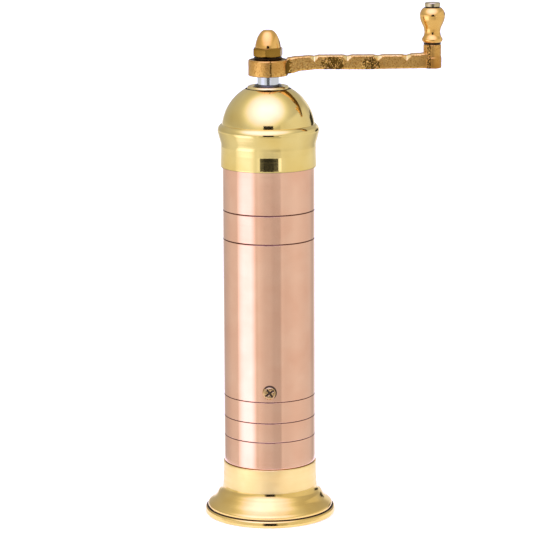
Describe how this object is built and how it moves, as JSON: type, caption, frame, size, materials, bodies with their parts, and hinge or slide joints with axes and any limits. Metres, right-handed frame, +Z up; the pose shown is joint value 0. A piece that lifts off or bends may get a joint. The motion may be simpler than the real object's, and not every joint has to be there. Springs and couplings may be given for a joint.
{
  "type": "pepper mill",
  "caption": "Hand-cranked pepper mill: copper tube on a flared brass foot, lift-off brass dome lid, brass crank with turned knob, conical steel burrs inside.",
  "frame": {"origin": "centre of the whole outline, crank included, on the surface that the foot stands on", "axes": "+Z up along the mill's axis, +X from the mill's axis towards the crank's knob at rest, -Y towards the front side screw"},
  "size_m": [0.1102, 0.0606, 0.237],
  "materials": {
    "pale_brass": "polished, pale yellow",
    "gold_brass": "polished, golden",
    "cast_brass": "sand cast and tumbled, with polished edges",
    "red_brass": "turned and polished",
    "copper": "polished copper",
    "bright_steel": "polished",
    "dark_steel": "blackened",
    "burr_steel": "hardened, grey",
    "housing_metal": "cast"
  },
  "bodies": {
    "mill_body": {"foot_base": "gold_brass", "body_tube": "copper", "side_screw_1": "gold_brass", "side_screw_2": "gold_brass", "side_screw_3": "gold_brass", "grinder_housing": "housing_metal", "outer_burr": "burr_steel", "spindle_guide": "housing_metal", "pressure_spring": "bright_steel", "bottom_bridge": "housing_metal", "bridge_screw_1": "bright_steel", "bridge_screw_2": "bright_steel", "lock_nut": "bright_steel"},
    "thrust_bearing": {"thrust_ball": "bright_steel"},
    "adjuster": {"adjusting_screw": "gold_brass"},
    "spindle_set": {"spindle": "bright_steel", "inner_burr": "burr_steel", "burr_clip": "dark_steel", "spring_cup": "bright_steel"},
    "crank": {"crank_arm": "cast_brass", "knob_pin": "red_brass", "knob_washer": "dark_steel"},
    "knob": {"crank_knob": "red_brass"},
    "nut_carrier": {"nut_washer": "dark_steel"},
    "nut": {"acorn_nut": "red_brass"},
    "lid": {"lid_dome": "pale_brass", "lid_bush": "dark_steel"}
  },
  "joints": [
    {"name": "grind_slide", "type": "slide", "parent": "mill_body", "child": "thrust_bearing", "axis": [0, 0, 1], "range_m": [0, 0.001], "deforming": ["pressure_spring"]},
    {"name": "adjuster_turn", "type": "hinge", "parent": "thrust_bearing", "child": "adjuster", "pos_m": [-0.02482, 0, 0.03], "axis": [0, 0, 1], "range_deg": [0, 450.1]},
    {"name": "spindle_turn", "type": "hinge", "parent": "thrust_bearing", "child": "spindle_set", "pos_m": [-0.02482, 0, 0.0505], "axis": [0, 0, 1], "continuous": true},
    {"name": "crank_lift", "type": "slide", "parent": "spindle_set", "child": "crank", "axis": [0, 0, 1], "range_m": [0, 0.065]},
    {"name": "knob_spin", "type": "hinge", "parent": "crank", "child": "knob", "pos_m": [0.04938, 0, 0.2191], "axis": [0, 0, 1], "continuous": true},
    {"name": "nut_lift", "type": "slide", "parent": "crank", "child": "nut_carrier", "axis": [0, 0, 1], "range_m": [0, 0.00801]},
    {"name": "nut_turn", "type": "hinge", "parent": "nut_carrier", "child": "nut", "pos_m": [-0.02482, 0, 0.2129], "axis": [0, 0, 1], "range_deg": [0, 3600]},
    {"name": "lid_lift", "type": "slide", "parent": "mill_body", "child": "lid", "axis": [0, 0, 1], "range_m": [0, 0.065]}
  ],
  "couplings": [
    {"joint": "adjuster_turn", "follows": "grind_slide", "rad_per_m": 7854},
    {"joint": "nut_lift", "follows": "nut_turn", "m_per_rad": 0.00012732},
    {"joint": "lid_lift", "follows": "crank_lift", "ratio": 1}
  ]
}
